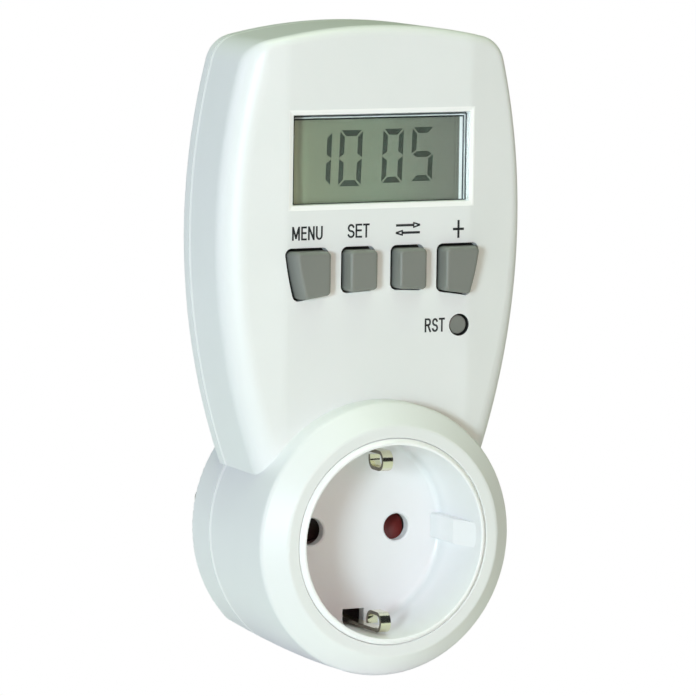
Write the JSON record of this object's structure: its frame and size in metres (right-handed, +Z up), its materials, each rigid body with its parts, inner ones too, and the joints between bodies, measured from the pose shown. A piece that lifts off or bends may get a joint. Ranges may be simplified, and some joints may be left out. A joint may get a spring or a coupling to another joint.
{
  "type": "digital plug-in timer socket",
  "caption": "White plug-in timer: barrelled upper body with clock display and grey keys above a round earthed socket, with a round plug at the back.",
  "frame": {"origin": "centre of the plug's engagement face, on the common axis of plug and socket", "axes": "+Z up, the front with the display, keys and socket faces -Y, the plug pins point along +Y, +X is to the right seen from the front"},
  "size_m": [0.066, 0.0712, 0.1295],
  "materials": {
    "white_shell": "satin moulded",
    "white_insert": "gloss moulded",
    "white_holder": "matt moulded",
    "grey_carrier": "matt moulded",
    "dark_red": "matt moulded",
    "grey_key": "fine matt moulded",
    "silicone": "matt",
    "dark_rubber": "matt",
    "clear_lens": "clear polished",
    "display_grey": "grey green reflector behind glass",
    "nickel_brass": "nickel plated",
    "brass_strip": "rolled strip",
    "steel_screw": "zinc plated",
    "spring_steel": "drawn wire",
    "bright_can": "plated",
    "iron": "plated soft iron",
    "copper_coil": "enamelled wire",
    "green_board": "lacquered",
    "black_resin": "matt",
    "blue_cover": "gloss",
    "yellow_box": "gloss",
    "fuse_glass": "clear with plated caps",
    "tan_body": "lacquered",
    "black_sleeve": "smooth sleeve",
    "grey_sleeve": "smooth sleeve",
    "brown_sleeve": "smooth sleeve",
    "blue_sleeve": "smooth sleeve"
  },
  "bodies": {
    "housing": {"front_housing": "white_shell", "rear_cover": "white_shell", "socket_insert": "white_insert", "cover_screws": "steel_screw", "carrier_screws": "steel_screw", "logic_board_screws": "steel_screw", "power_board_screws": "steel_screw", "shutter_spring": "spring_steel", "contact_carrier": "grey_carrier", "live_contact": "brass_strip", "neutral_contact": "brass_strip", "neutral_bar": "brass_strip", "live_tab": "brass_strip", "live_pin": "nickel_brass", "neutral_pin": "nickel_brass", "earth_clip": "nickel_brass", "earth_strap": "nickel_brass", "earth_post": "nickel_brass", "window_lens": "clear_lens", "display_glass": "display_grey", "display_holder": "white_holder", "zebra_strips": "dark_rubber", "keypad_mat": "silicone", "logic_board": "green_board", "power_board": "green_board", "controller_chip": "black_resin", "crystal": "bright_can", "backup_battery": "bright_can", "battery_tabs": "bright_can", "relay_base": "black_resin", "relay_cover": "blue_cover", "relay_winding": "copper_coil", "relay_bobbin": "white_holder", "relay_yoke": "iron", "relay_terminal": "brass_strip", "x2_capacitor": "yellow_box", "electrolytic_capacitor": "black_sleeve", "varistor": "blue_cover", "fuse": "fuse_glass", "resistors": "tan_body", "diodes": "black_resin", "ribbon_cable": "grey_sleeve", "live_wire": "brown_sleeve", "load_wire": "black_sleeve", "neutral_wire": "blue_sleeve"},
    "menu_key_body": {"menu_key": "grey_key"},
    "set_key_body": {"set_key": "grey_key"},
    "arrow_key_body": {"arrow_key": "grey_key"},
    "plus_key_body": {"plus_key": "grey_key"},
    "reset_key_body": {"reset_key": "grey_key"},
    "shutter_body": {"shutter": "dark_red"},
    "relay_armature_body": {"relay_armature": "iron"}
  },
  "joints": [
    {"name": "menu_press", "type": "slide", "parent": "housing", "child": "menu_key_body", "axis": [0, 1, 0], "range_m": [0, 0.001], "stiffness_N_per_m": 600, "springref_m": -0.0006, "deforming": ["keypad_mat"]},
    {"name": "set_press", "type": "slide", "parent": "housing", "child": "set_key_body", "axis": [0, 1, 0], "range_m": [0, 0.001], "stiffness_N_per_m": 600, "springref_m": -0.0006, "deforming": ["keypad_mat"]},
    {"name": "arrow_press", "type": "slide", "parent": "housing", "child": "arrow_key_body", "axis": [0, 1, 0], "range_m": [0, 0.001], "stiffness_N_per_m": 600, "springref_m": -0.0006, "deforming": ["keypad_mat"]},
    {"name": "plus_press", "type": "slide", "parent": "housing", "child": "plus_key_body", "axis": [0, 1, 0], "range_m": [0, 0.001], "stiffness_N_per_m": 600, "springref_m": -0.0006, "deforming": ["keypad_mat"]},
    {"name": "reset_press", "type": "slide", "parent": "housing", "child": "reset_key_body", "axis": [0, 1, 0], "range_m": [0, 0.0008], "stiffness_N_per_m": 600, "springref_m": -0.0006, "deforming": ["keypad_mat"]},
    {"name": "shutter_turn", "type": "hinge", "parent": "housing", "child": "shutter_body", "pos_m": [0, -0.0296, 0], "axis": [0, 1, 0], "range_deg": [0, 38], "stiffness_Nm_per_rad": 0.0004, "springref_deg": -20.05, "deforming": ["shutter_spring"]},
    {"name": "armature_swing", "type": "hinge", "parent": "housing", "child": "relay_armature_body", "pos_m": [-0.0085, -0.03735, 0.0309], "axis": [0, 0, -1], "range_deg": [0, 3.9], "stiffness_Nm_per_rad": 0.004, "springref_deg": -5.73}
  ]
}
